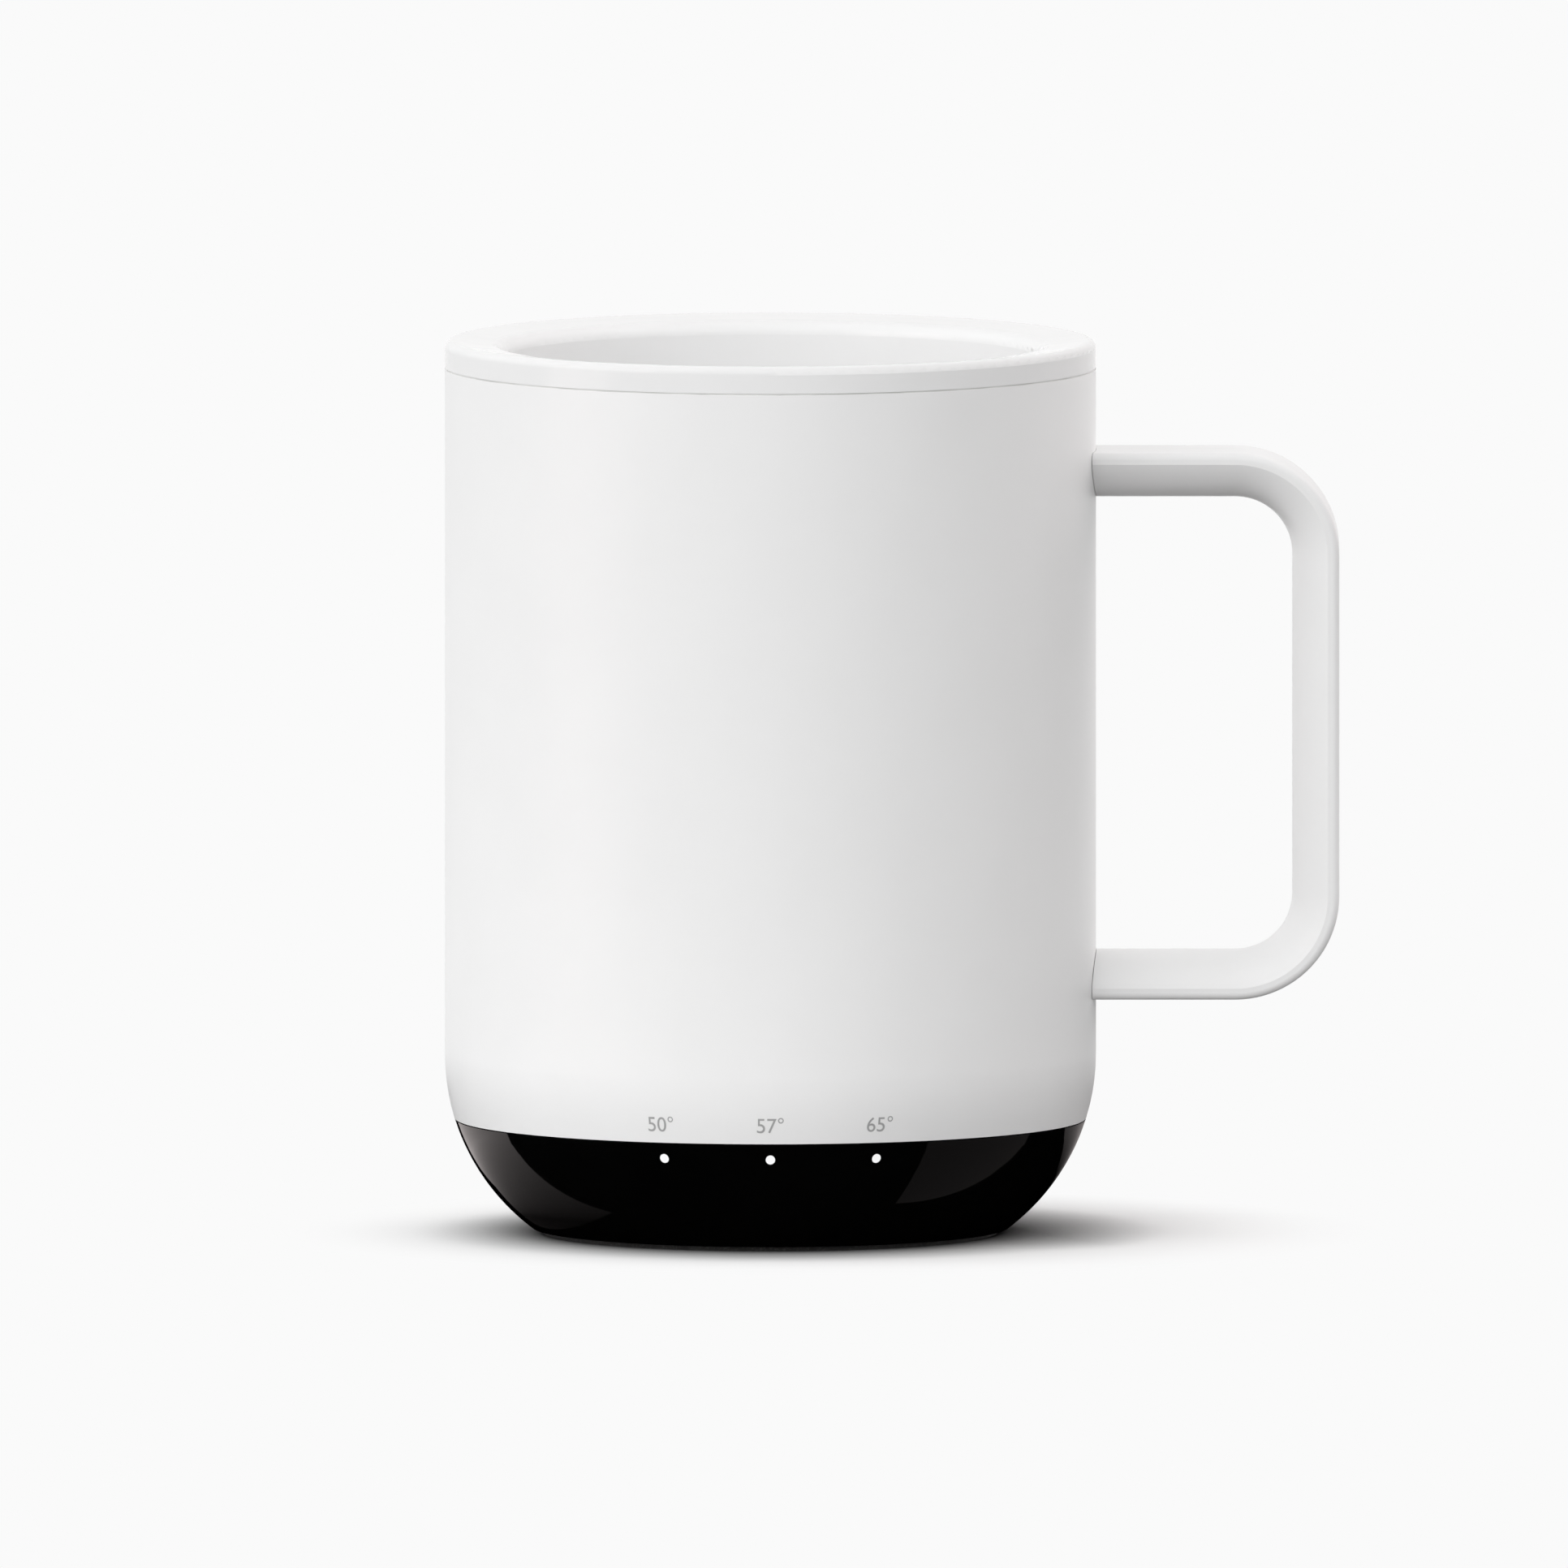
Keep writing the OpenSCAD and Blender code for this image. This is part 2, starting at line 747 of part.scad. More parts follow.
module tact_switch() {
    color("silver")
        difference() {
            block([switch_w, switch_w, switch_h], [0, 0], switch_z);
            rod(plunger_d + 2 * stack_gap, switch_z - over, switch_z + switch_bore_h);
        }
}

module contact_ring(r) {
    color("gold")
        ring(r - contact_w / 2, r + contact_w / 2, contact_z, contact_top);
}

module contact_pins() {
    color("gold")
        for (r = [contact_in_r, contact_out_r])
            around(r, contact_pin_angles)
                rod(contact_pin_d, contact_top, board_z);
}

module main_board() {
    color("darkgreen")
        difference() {
            rod(2 * board_r, board_z, board_top);
            around(screw_r, pillar_angles)
                rod(pillar_tip_d + 2 * fit_gap, board_z - over, board_top + over);
        }
}

module board_spacers() {
    color("ivory")
        around(screw_r, pillar_angles)
            ring(pillar_tip_d / 2 + fit_gap, collar_d / 2, board_top, tray_z);
}

module control_chip() {
    color([0.08, 0.08, 0.08])
        block([chip_w, chip_w, chip_h], chip_at, board_top);
}

module power_inductor() {
    color("gray")
        block([inductor_w, inductor_w, inductor_h], inductor_at, board_top);
}

module socket_at(x) {
    color("ivory")
        block([socket_w, socket_l, socket_h], [x, wire_y], board_top);
}

module indicator_connector() {
    color("ivory")
        rotate(ribbon_angle)
            translate([ribbon_in_r, -socket_w / 2, board_top])
                cube([socket_l - side_gap, socket_w, socket_h]);
}

module battery_tray() {
    color("darkslategray")
        difference() {
            union() {
                block([2 * tray_half_w, 2 * tray_half_l, tray_floor_t + tray_rim_h], [0, 0], tray_z);
                around(screw_r, pillar_angles) {
                    rod(collar_d, tray_z, cell_z);
                    translate([-screw_r, -collar_d / 2, tray_z])
                        cube([screw_r, collar_d, tray_floor_t]);
                }
            }
            block([2 * bay_half_w, 2 * bay_half_l, tray_rim_h + over], [0, 0], cell_z);
            around(screw_r, pillar_angles)
                rod(pillar_tip_d + 2 * fit_gap, tray_z - over, cell_z + over);
        }
}

module battery_cell(i) {
    color("cornflowerblue")
        block([cell_w, cell_l, cell_t], [(i - (cell_n + 1) / 2) * (cell_w + cell_gap), 0], cell_z);
}

// Two strips across the cells' front ends, above the tray's wall
module cell_links() {
    color("silver")
        for (z = [foam_z - side_gap - link_h, foam_z - 2 * (side_gap + link_h)])
            block([link_l, link_t, link_h], [0, -pack_half_l - link_t / 2], z);
}

module battery_leads() {
    color("firebrick")
        pair_at(battery_wire_x) {
            rod(wire_d, socket_top, battery_wire_z - wire_bend);
            translate([0, -wire_bend, battery_wire_z - wire_bend])
                rotate([90, 0, 90])
                    rotate_extrude(angle = 90)
                        translate([wire_bend, 0])
                            circle(d = wire_d);
            translate([0, pack_half_l - wire_y, battery_wire_z])
                rotate([-90, 0, 0])
                    cylinder(d = wire_d, h = wire_y - wire_bend - pack_half_l);
        }
}

module battery_foam() {
    color("khaki")
        block([2 * pack_half_w, cell_l, foam_t], [0, 0], foam_z);
}

module fuse_room() {
    room = 2 * (fuse_l / 2 + fuse_leg_l + side_gap);
    block([room, fuse_d + 2 * side_gap, fuse_d + 2 * side_gap], [0, -fuse_y], film_z - fuse_d - side_gap);
}

module insulation_pad() {
    color("beige")
        difference() {
            rod(2 * pad_r, pad_z, film_z);
            pair_at(heater_wire_x)
                rod(wire_hole_d, pad_z - over, film_z + over);
            translate([sensor_wire_x, wire_y, 0])
                rod(sensor_hole_d, film_z - sensor_h - fit_gap, film_z + over);
            pair_at(sensor_wire_x)
                rod(wire_hole_d, pad_z - over, film_z - sensor_h);
            fuse_room();
        }
}

module heater_film() {
    color("orange")
        rod(2 * film_r, film_z, cup_z);
}

module heater_leads() {
    color("crimson")
        pair_at(heater_wire_x)
            rod(wire_d, socket_top, film_z);
}

module temperature_sensor() {
    color("saddlebrown")
        translate([sensor_wire_x, wire_y, 0])
            rod(sensor_d, film_z - sensor_h, film_z);
}

module sensor_leads() {
    color("steelblue")
        pair_at(sensor_wire_x)
            rod(sensor_wire_d, socket_top, film_z - sensor_h);
}

// Fuse that lies along X, with a flat leg at each end that turns up to the film
module thermal_fuse() {
    color("tan")
        translate([0, -fuse_y, 0]) {
            translate([-fuse_l / 2, 0, fuse_z])
                rotate([0, 90, 0])
                    cylinder(d = fuse_d, h = fuse_l);
            for (s = [0, 1])
                mirror([s, 0, 0]) {
                    translate([fuse_l / 2, -fuse_leg_w / 2, fuse_z])
                        cube([fuse_leg_l, fuse_leg_w, fuse_leg_t]);
                    translate([fuse_l / 2 + fuse_leg_l - fuse_leg_t, -fuse_leg_w / 2, fuse_z])
                        cube([fuse_leg_t, fuse_leg_w, film_z - fuse_z]);
                }
        }
}

module front_sector(ri, ro, z0, z1) {
    rotate(front - holder_half)
        rotate_extrude(angle = 2 * holder_half)
            translate([ri, z0])
                square([ro - ri, z1 - z0]);
}

module indicator_board() {
    color("seagreen")
        front_sector(light_board_ri, light_board_ro, light_z - holder_h / 2, light_z + holder_h / 2);
}

module indicator_ribbon() {
    color("peru")
        rotate(ribbon_angle)
            translate([0, -ribbon_w / 2, socket_top]) {
                translate([light_board_ri, 0, 0])
                    cube([ribbon_t, ribbon_w, light_z - holder_h / 2 - socket_top]);
                translate([ribbon_in_r, 0, 0])
                    cube([light_board_ri - ribbon_in_r + ribbon_t, ribbon_w, ribbon_t]);
            }
}

module led_holder() {
    color([0.15, 0.15, 0.15])
        difference() {
            rotate(front - holder_half)
                rotate_extrude(angle = 2 * holder_half)
                    intersection() {
                        translate([light_board_ro, light_z - holder_h / 2])
                            square([holder_t, holder_h]);
                        body_section(base_wall + snug_gap, floor_top, spigot_top);
                    }
            for (i = [1 : light_n])
                radial_rod(light_flange_d + 2 * fit_gap, light_board_ri, body_r, light_z, light_angle(i));
        }
}

module led(i) {
    color("lightyellow")
        rotate(light_angle(i))
            translate([light_board_ro, -led_w / 2, light_z - led_h / 2])
                cube([led_t, led_w, led_h]);
}

// Clear pin whose outer end follows the base's surface
module light_pipe(i) {
    color("white") {
        radial_rod(light_flange_d, light_flange_r, holder_ro, light_z, light_angle(i));
        intersection() {
            radial_rod(light_d, holder_ro, body_r, light_z, light_angle(i));
            rotate_extrude()
                body_section(0, base_clear, seam_z);
        }
    }
}

inner_cup();
lip_seal();
insulation_wrap();
outer_shell();
handle();
handle_inserts();
handle_screws();
base_shell();
base_seal();
chassis();
chassis_screws();
bottom_cover();
cover_seal();
cover_screws();
foot_ring();
power_button();
button_boot();
switch_plunger();
tact_switch();
contact_ring(contact_in_r);  // contact_ring_inner
contact_ring(contact_out_r);  // contact_ring_outer
contact_pins();
main_board();
board_spacers();
control_chip();
power_inductor();
socket_at(heater_wire_x);  // heater_connector
socket_at(battery_wire_x);  // battery_connector
socket_at(sensor_wire_x);  // sensor_connector
indicator_connector();
battery_tray();
cell_links();
battery_leads();
battery_foam();
insulation_pad();
heater_film();
heater_leads();
temperature_sensor();
sensor_leads();
thermal_fuse();
indicator_board();
indicator_ribbon();
led_holder();
for (i = [1 : cell_n])
    battery_cell(i);
for (i = [1 : light_n]) {
    led(i);
    light_pipe(i);
}
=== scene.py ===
"""Looks of the self-heating mug: finishes, printed marks, floor, light and camera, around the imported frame.

Lengths are in metres, in the frame of the part: +Z up, the lights face -Y and the handle is on +X.
"""

import math

import bmesh
import bpy
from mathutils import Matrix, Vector


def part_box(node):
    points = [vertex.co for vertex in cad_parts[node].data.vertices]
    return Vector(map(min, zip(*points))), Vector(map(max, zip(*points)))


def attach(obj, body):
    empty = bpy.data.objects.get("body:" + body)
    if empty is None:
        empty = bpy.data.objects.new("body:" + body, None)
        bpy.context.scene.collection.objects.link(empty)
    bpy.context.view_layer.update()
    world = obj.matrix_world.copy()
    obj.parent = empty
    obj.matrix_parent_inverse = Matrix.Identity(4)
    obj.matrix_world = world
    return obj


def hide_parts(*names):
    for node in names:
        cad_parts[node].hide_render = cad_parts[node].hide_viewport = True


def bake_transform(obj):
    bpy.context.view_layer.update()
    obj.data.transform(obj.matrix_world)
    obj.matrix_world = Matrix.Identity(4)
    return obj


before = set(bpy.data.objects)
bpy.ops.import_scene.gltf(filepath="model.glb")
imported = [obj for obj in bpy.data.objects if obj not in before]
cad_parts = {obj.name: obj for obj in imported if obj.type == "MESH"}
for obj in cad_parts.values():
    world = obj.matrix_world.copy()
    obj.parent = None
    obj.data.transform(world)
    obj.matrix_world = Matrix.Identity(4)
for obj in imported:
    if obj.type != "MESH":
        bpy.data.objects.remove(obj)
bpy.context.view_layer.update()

MM = 0.001

# Body, as the solids have it
BODY_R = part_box("outer_shell")[1].x
BELLY_R = 26.7 * MM
BELLY_Z = 22 * MM
MUG_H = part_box("inner_cup")[1].z
FOOT_OUT_R = 27.9 * MM
BUTTON_FACE_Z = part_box("power_button")[0].z

# Soft boot over the button
BOOT_ROOF = 0.4 * MM
BOOT_WALL = 0.8 * MM
BOOT_EDGE = 0.15 * MM
BOOT_STEPS = 8
BOOT_SIDES = 64

# Printed marks
LABELS = ("50°", "57°", "65°")
LABEL_STEP = math.radians(20)
LABEL_Z = 16.3 * MM
LABEL_H = 1.9 * MM
SIGN_R = 1.9 * MM
SIGN_LINE = 0.4 * MM
SIGN_OPENING = math.radians(76)
SIGN_STEPS = 40
# Ends of the sign's bar, as shares of its radius
SIGN_BAR = (0.25, 1.3)
# Height of a figure, as a share of the font's size
FIGURE_SHARE = 0.73
PRINT_T = 0.02 * MM
PRINT_SUNK = PRINT_T / 4
# Longest parts of a print along and up, so that it can follow a curve
PRINT_STEPS = (0.4 * MM, 0.3 * MM)

# Picture
BACKGROUND = 0.956
PHOTO_SIDE = 1932
PX_PER_MM = 10.03
CAMERA_TILT = math.radians(4.9)
CAMERA_AWAY = 1.0
CAMERA_REACH = 20
CENTRE_X = 1.67 * MM
CENTRE_Z = 55.2 * MM


def belly(z):
    """Outer radius of the body at a height."""
    if z >= BELLY_Z:
        return BODY_R
    return BODY_R - BELLY_R + math.sqrt(BELLY_R**2 - (BELLY_Z - z) ** 2)


# Node helpers

# Range that most values of the noise lie in
NOISE_LOW, NOISE_HIGH = 0.3, 0.7
# Value of the noise where specks begin, how far their share moves it, and the width of their edge
SPECK_FROM, SPECK_SHIFT, SPECK_EDGE = 0.62, 0.25, 0.06
# Distances from a cell's middle, as the texture gives them, where a pore begins and where it is deepest
PORE_FROM, PORE_FULL = 0.5, 0.15
# The wave texture takes the sine of this many times a scaled length
WAVE_RATE = 20
STRIPE_EDGE = 0.1


def new_node(tree, kind, values=None, **settings):
    """A node with its sockets' values and its own settings."""
    node = tree.nodes.new(kind)
    for name, value in settings.items():
        setattr(node, name, value)
    for socket, value in (values or {}).items():
        node.inputs[socket].default_value = value
    return node


def place_on(tree, stretch=(1, 1, 1)):
    """The piece's own coordinates, drawn out along an axis."""
    where = tree.nodes.new("ShaderNodeTexCoord")
    shape = new_node(tree, "ShaderNodeMapping", {"Scale": stretch})
    tree.links.new(where.outputs["Object"], shape.inputs["Vector"])
    return shape.outputs["Vector"]


def noise(tree, size, detail=2.0, stretch=(1, 1, 1)):
    """Cloudy noise with spots of a size in millimetres."""
    spots = new_node(tree, "ShaderNodeTexNoise", {"Scale": 1 / (size * MM), "Detail": detail})
    tree.links.new(place_on(tree, stretch), spots.inputs["Vector"])
    return spots.outputs["Fac"]


def ranged(tree, value, low, high, to_low=0.0, to_high=1.0):
    """A value moved from one range to another, and held at its ends."""
    node = new_node(
        tree, "ShaderNodeMapRange", {"From Min": low, "From Max": high, "To Min": to_low, "To Max": to_high}
    )
    tree.links.new(value, node.inputs["Value"])
    return node.outputs["Result"]


def specks(size, share):
    """A pattern of small spots that cover a share of the surface."""

    def make(tree):
        edge = SPECK_FROM - SPECK_SHIFT * share
        return ranged(tree, noise(tree, size, 1), edge, edge + SPECK_EDGE)

    return make


def pores(size):
    """A pattern of open cells, 1 in the middle of each."""

    def make(tree):
        cells = new_node(tree, "ShaderNodeTexVoronoi", {"Scale": 1 / (size * MM)})
        tree.links.new(place_on(tree), cells.inputs["Vector"])
        return ranged(tree, cells.outputs["Distance"], PORE_FROM, PORE_FULL)

    return make


def stripes(pitch, share, axis="X", wobble=0.0, kind="BANDS"):
    """A pattern of lines at a pitch in millimetres, straight or in rings round the part's axis."""

    def make(tree):
        turn = 2 * math.pi / WAVE_RATE
        waves = new_node(
            tree, "ShaderNodeTexWave", {"Scale": turn / (pitch * MM), "Distortion": wobble},
            wave_type=kind, bands_direction=axis, rings_direction="Z",
        )
        tree.links.new(place_on(tree), waves.inputs["Vector"])
        return ranged(tree, waves.outputs["Fac"], 1 - share - STRIPE_EDGE, 1 - share + STRIPE_EDGE)

    return make


def finish(
    name, colour, rough, tone=0.06, tone_size=4, sheen=0.06, sheen_size=1.5, grain=0.0, grain_size=0.3,
    stretch=(1, 1, 1), mark=None, mark_colour=None, mark_depth=0.0, **sockets,
):
    """A material whose colour and gloss drift a little, with a fine relief and an optional marked pattern.

    Sizes and depths are in millimetres. A mark that is higher than the rest has a depth over 0.
    """
    made = bpy.data.materials.new(name)
    made.use_nodes = True
    tree = made.node_tree
    link = tree.links.new
    shader = tree.nodes["Principled BSDF"]
    for socket, value in sockets.items():
        shader.inputs[socket.replace("_", " ")].default_value = value

    drift = tree.nodes.new("ShaderNodeValToRGB")
    drift.color_ramp.elements[0].color = (*[c * (1 - tone) for c in colour], 1)
    drift.color_ramp.elements[1].color = (*[min(1, c * (1 + tone)) for c in colour], 1)
    link(ranged(tree, noise(tree, tone_size), NOISE_LOW, NOISE_HIGH), drift.inputs["Fac"])
    shade = drift.outputs["Color"]

    normal = None
    if mark:
        pattern = mark(tree)
        painted = new_node(tree, "ShaderNodeMixRGB", {"Color2": (*mark_colour, 1)})
        link(pattern, painted.inputs["Fac"])
        link(shade, painted.inputs["Color1"])
        shade = painted.outputs["Color"]
        raised = new_node(tree, "ShaderNodeBump", {"Distance": mark_depth * MM})
        link(pattern, raised.inputs["Height"])
        normal = raised.outputs["Normal"]
    link(shade, shader.inputs["Base Color"])

    if grain:
        bump = new_node(tree, "ShaderNodeBump", {"Distance": grain * MM})
        link(noise(tree, grain_size, 2, stretch), bump.inputs["Height"])
        if normal:
            link(normal, bump.inputs["Normal"])
        normal = bump.outputs["Normal"]
    if normal:
        link(normal, shader.inputs["Normal"])

    dull = noise(tree, sheen_size, 3, stretch)
    gloss = ranged(tree, dull, NOISE_LOW, NOISE_HIGH, rough - sheen, rough + sheen)
    link(gloss, shader.inputs["Roughness"])
    return made


def metal(name, colour, rough, **details):
    """A bare metal, brushed or drawn along the stretch."""
    settings = {"tone": 0.08, "sheen": 0.1, "sheen_size": 0.6, "grain": 0.004, "grain_size": 0.2}
    return finish(name, colour, rough, Metallic=1.0, **{**settings, **details})


def moulded(name, colour, rough=0.5, **details):
    """Moulded plastic with the fine texture of its tool."""
    settings = {"grain": 0.012, "grain_size": 0.22}
    return finish(name, colour, rough, **{**settings, **details})


def rubber(name, colour, rough=0.7, **details):
    """Soft rubber with a dull, slightly uneven skin."""
    settings = {"tone": 0.12, "sheen": 0.1, "grain": 0.02, "grain_size": 0.35}
    return finish(name, colour, rough, **{**settings, **details})


def dress(material, *names):
    """Gives CAD nodes a material."""
    for name in names:
        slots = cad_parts[name].data.materials
        slots.clear()
        slots.append(material)


# Finishes


def dress_outside():
    glaze = finish(
        "glaze", (0.8, 0.8, 0.8), 0.08, tone=0.008, tone_size=14, sheen=0.02, sheen_size=5,
        grain=0.004, grain_size=9, IOR=1.4,
    )
    satin = finish(
        "satin_coat", (0.82, 0.82, 0.82), 0.36, tone=0.008, tone_size=12, sheen=0.02, sheen_size=3,
        grain=0.003, grain_size=0.25,
    )
    piano = finish(
        "piano_black", (0.001, 0.001, 0.001), 0.05, tone=0.2, tone_size=10, sheen=0.02, sheen_size=6,
        grain=0.002, grain_size=8, IOR=1.45,
    )
    dress(glaze, "inner_cup")
    dress(satin, "outer_shell", "handle")
    dress(piano, "base_shell")
    dress(rubber("white_gasket", (0.68, 0.68, 0.67), 0.5), "lip_seal")


def dress_underside():
    cover = moulded("cover_plastic", (0.02, 0.02, 0.021), 0.55, grain=0.03, grain_size=0.3)
    foot = rubber(
        "foot_rubber", (0.035, 0.035, 0.034), 0.8, mark=specks(0.25, 0.2), mark_colour=(0.06, 0.06, 0.058)
    )
    button = moulded("button_plastic", (0.04, 0.04, 0.041), 0.4, grain=0.01, grain_size=0.18)
    silicone = rubber("boot_silicone", (0.6, 0.6, 0.58), 0.45, Transmission_Weight=0.15)
    gold = metal(
        "contact_gold", (0.83, 0.62, 0.28), 0.22,
        mark=stripes(0.12, 0.3, kind="RINGS"), mark_colour=(0.7, 0.5, 0.21), mark_depth=0.003,
    )
    steel = metal("screw_steel", (0.6, 0.6, 0.61), 0.3, stretch=(1, 1, 0.15))
    dress(cover, "bottom_cover")
    dress(foot, "foot_ring")
    dress(button, "power_button")
    boot_skin(silicone)
    dress(gold, "contact_ring_inner", "contact_ring_outer", "contact_pins")
    dress(steel, "cover_screws", "chassis_screws", "handle_screws")
    dress(rubber("grey_gasket", (0.2, 0.2, 0.2)), "base_seal", "cover_seal")


def dress_lights():
    lens = finish(
        "lit_lens", (0.3, 0.3, 0.31), 0.2, tone=0.01, Emission_Color=(1, 1, 1, 1), Emission_Strength=0.7
    )
    led = finish(
        "led_resin", (0.9, 0.82, 0.45), 0.25, mark=specks(0.15, 0.5), mark_colour=(0.93, 0.76, 0.3),
        Coat_Weight=0.5,
    )
    dress(lens, "light_pipe_1", "light_pipe_2", "light_pipe_3")
    dress(led, "led_1", "led_2", "led_3")
    dress(moulded("holder_plastic", (0.03, 0.03, 0.03), 0.6), "led_holder")


def dress_power():
    foil = finish(
        "cell_foil", (0.62, 0.64, 0.67), 0.32, sheen=0.1, sheen_size=2, grain=0.12, grain_size=3,
        Metallic=0.9,
    )
    nickel = metal("link_nickel", (0.66, 0.65, 0.62), 0.35, stretch=(0.1, 1, 1))
    board = finish(
        "board_mask", (0.02, 0.16, 0.07), 0.3, mark=stripes(1.3, 0.35, "X", 6.0),
        mark_colour=(0.04, 0.25, 0.11), mark_depth=0.03, Coat_Weight=0.3,
    )
    chip = finish(
        "chip_resin", (0.025, 0.025, 0.027), 0.6, grain=0.01, grain_size=0.12,
        mark=specks(0.1, 0.3), mark_colour=(0.045, 0.045, 0.047),
    )
    ferrite = finish(
        "ferrite", (0.11, 0.11, 0.12), 0.65, grain=0.03, grain_size=0.2,
        mark=specks(0.2, 0.3), mark_colour=(0.17, 0.17, 0.18),
    )
    dress(foil, "battery_cell_1", "battery_cell_2")
    dress(nickel, "cell_links")
    dress(board, "main_board", "indicator_board")
    dress(chip, "control_chip")
    dress(ferrite, "power_inductor")
    sockets = ("heater_connector", "battery_connector", "sensor_connector", "indicator_connector")
    dress(moulded("socket_nylon", (0.78, 0.75, 0.66), 0.4), "board_spacers", *sockets)
    dress(moulded("tray_plastic", (0.05, 0.055, 0.06), 0.55), "battery_tray")
    dress(metal("switch_can", (0.6, 0.6, 0.6), 0.4), "tact_switch")
    dress(moulded("plunger_plastic", (0.03, 0.03, 0.03), 0.5), "switch_plunger")
    dress(rubber("red_wire", (0.45, 0.03, 0.03), 0.45), "battery_leads", "heater_leads")
    dress(rubber("blue_wire", (0.05, 0.1, 0.4), 0.45), "sensor_leads")


def dress_heater():
    film = finish(
        "heater_film", (0.55, 0.24, 0.05), 0.2, mark=stripes(1.6, 0.45, "Y", 0.4),
        mark_colour=(0.42, 0.16, 0.06), mark_depth=0.04, Coat_Weight=0.4,
    )
    # Foam whose pores are sunk by a bump and painted darker, as painted shade in them.
    foam = finish(
        "foam", (0.55, 0.55, 0.52), 0.95, sheen=0.04, mark=pores(0.7), mark_colour=(0.33, 0.33, 0.31),
        mark_depth=-0.25,
    )
    chassis = moulded(
        "filled_nylon", (0.25, 0.27, 0.29), 0.6, mark=specks(0.18, 0.3), mark_colour=(0.33, 0.35, 0.37)
    )
    bead = finish("sensor_glass", (0.2, 0.06, 0.03), 0.12, Coat_Weight=0.6, grain=0.02, grain_size=1.2)
    fuse = finish(
        "fuse_ceramic", (0.65, 0.55, 0.38), 0.7, grain=0.01, grain_size=0.2,
        mark=specks(0.3, 0.2), mark_colour=(0.5, 0.4, 0.26),
    )
    dress(film, "heater_film", "indicator_ribbon")
    dress(foam, "battery_foam", "insulation_pad", "insulation_wrap")
    dress(chassis, "chassis")
    dress(bead, "temperature_sensor")
    dress(fuse, "thermal_fuse")
    dress(metal("insert_brass", (0.75, 0.55, 0.22), 0.3, stretch=(0.15, 1, 1)), "handle_inserts")


# Soft boot


def turned_mesh(name, outline, count):
    """A closed form round the axis, from radii and heights that start and end on the axis."""
    form = bmesh.new()
    turns = [2 * math.pi * i / count for i in range(count)]
    rows = []
    for r, z in outline[1:-1]:
        rows.append([form.verts.new((r * math.cos(a), r * math.sin(a), z)) for a in turns])
    first = form.verts.new((0, 0, outline[0][1]))
    last = form.verts.new((0, 0, outline[-1][1]))
    for i in range(count):
        j = (i + 1) % count
        form.faces.new((first, rows[0][i], rows[0][j]))
        form.faces.new((last, rows[-1][j], rows[-1][i]))
        for near, far in zip(rows, rows[1:]):
            form.faces.new((near[i], far[i], far[j], near[j]))
    bmesh.ops.recalc_face_normals(form, faces=form.faces[:])
    mesh = bpy.data.meshes.new(name)
    form.to_mesh(mesh)
    form.free()
    return mesh


def boot_skin(silicone):
    """The boot over the button, as a turned skin from the cover up over the button in place of its CAD node.
    """
    low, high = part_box("button_boot")
    inner = high.x - BOOT_WALL
    roof_z = high.z - BOOT_ROOF
    shares = [i / BOOT_STEPS for i in range(BOOT_STEPS + 1)]
    inside = [(inner, roof_z + (low.z - roof_z) * t) for t in shares]
    outside = [(high.x, low.z + (high.z - BOOT_EDGE - low.z) * t) for t in shares]
    outline = [(0, roof_z), *inside, *outside, (high.x - BOOT_EDGE, high.z), (0, high.z)]
    mesh = turned_mesh("boot_skin", outline, BOOT_SIDES)
    mesh.materials.append(silicone)
    piece = bpy.data.objects.new("boot_skin", mesh)
    bpy.context.scene.collection.objects.link(piece)
    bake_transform(piece)
    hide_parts("button_boot")


# Printed marks


def print_on(name, flat, place, ink, body):
    """A thin closed print from a flat mesh, each of its points sent to place(x, y, height)."""
    form = bmesh.new()
    form.from_mesh(flat)
    for axis, step in enumerate(PRINT_STEPS):
        low = min(v.co[axis] for v in form.verts)
        high = max(v.co[axis] for v in form.verts)
        for i in range(1, int((high - low) / step) + 1):
            cut = Vector((0, 0, 0))
            cut[axis] = low + i * step
            across = Vector((0, 0, 0))
            across[axis] = 1
            whole = form.verts[:] + form.edges[:] + form.faces[:]
            bmesh.ops.bisect_plane(form, geom=whole, plane_co=cut, plane_no=across)
    bmesh.ops.triangulate(form, faces=form.faces[:])
    raised = bmesh.ops.extrude_face_region(form, geom=form.faces[:])
    for v in [g for g in raised["geom"] if isinstance(g, bmesh.types.BMVert)]:
        v.co.z = PRINT_T
    for v in form.verts:
        v.co = place(v.co.x, v.co.y, v.co.z - PRINT_SUNK)
    bmesh.ops.recalc_face_normals(form, faces=form.faces[:])
    mesh = bpy.data.meshes.new(name)
    form.to_mesh(mesh)
    form.free()
    mesh.materials.append(ink)
    piece = bpy.data.objects.new(name, mesh)
    bpy.context.scene.collection.objects.link(piece)
    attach(piece, body)


def flat_text(words, height):
    """A filled flat mesh of some figures, centred, of a height."""
    curve = bpy.data.curves.new("figures", "FONT")
    curve.body = words
    curve.size = height / FIGURE_SHARE
    curve.align_x = "CENTER"
    curve.align_y = "CENTER"
    carrier = bpy.data.objects.new("figures", curve)
    bpy.context.scene.collection.objects.link(carrier)
    depsgraph = bpy.context.evaluated_depsgraph_get()
    mesh = bpy.data.meshes.new_from_object(carrier.evaluated_get(depsgraph))
    bpy.data.objects.remove(carrier)
    return mesh


